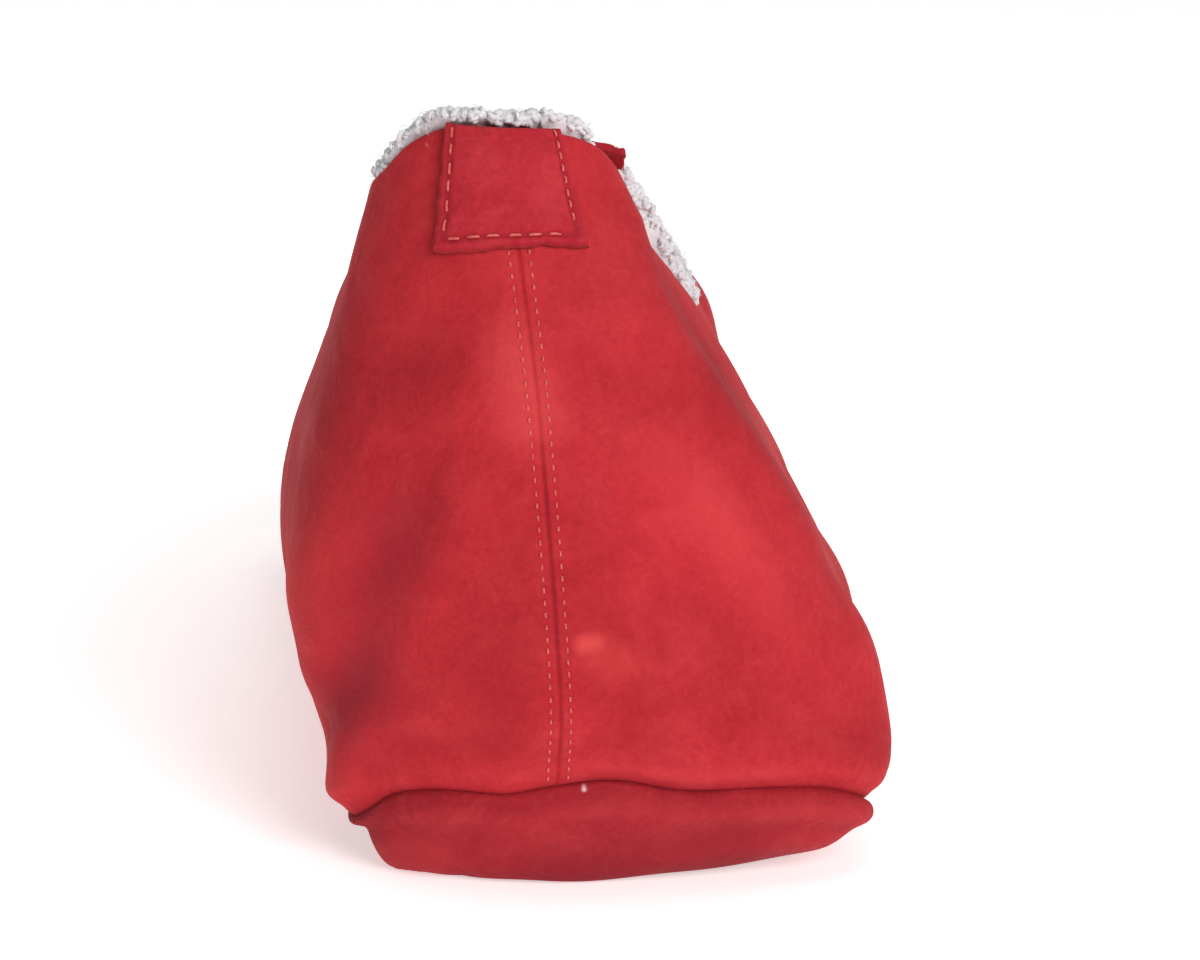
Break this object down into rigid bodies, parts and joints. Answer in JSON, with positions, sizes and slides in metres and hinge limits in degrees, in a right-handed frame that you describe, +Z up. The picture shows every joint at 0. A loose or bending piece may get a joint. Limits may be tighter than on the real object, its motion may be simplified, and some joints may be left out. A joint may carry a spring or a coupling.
{
  "type": "babouche slipper",
  "caption": "Soft left-foot slipper: leather upper sewn to a wrapped leather sole, fleece inside, suede tabs at heel and throat.",
  "frame": {"origin": "middle of the slipper's bounding box, on the floor", "axes": "+Z up, +Y from heel to toe, +X towards the inner side of the foot (a left foot's right)"},
  "size_m": [0.0952, 0.26, 0.1136],
  "materials": {
    "upper_leather": "matt nubuck",
    "sole_leather": "matt nubuck",
    "tab_suede": "napped suede",
    "fleece": "curly wool",
    "footbed_fleece": "short wool"
  },
  "bodies": {
    "root": {"upper": "upper_leather", "sole": "sole_leather", "heel_tab": "tab_suede", "throat_tab": "tab_suede", "fleece_lining": "fleece", "footbed": "footbed_fleece"}
  },
  "joints": []
}
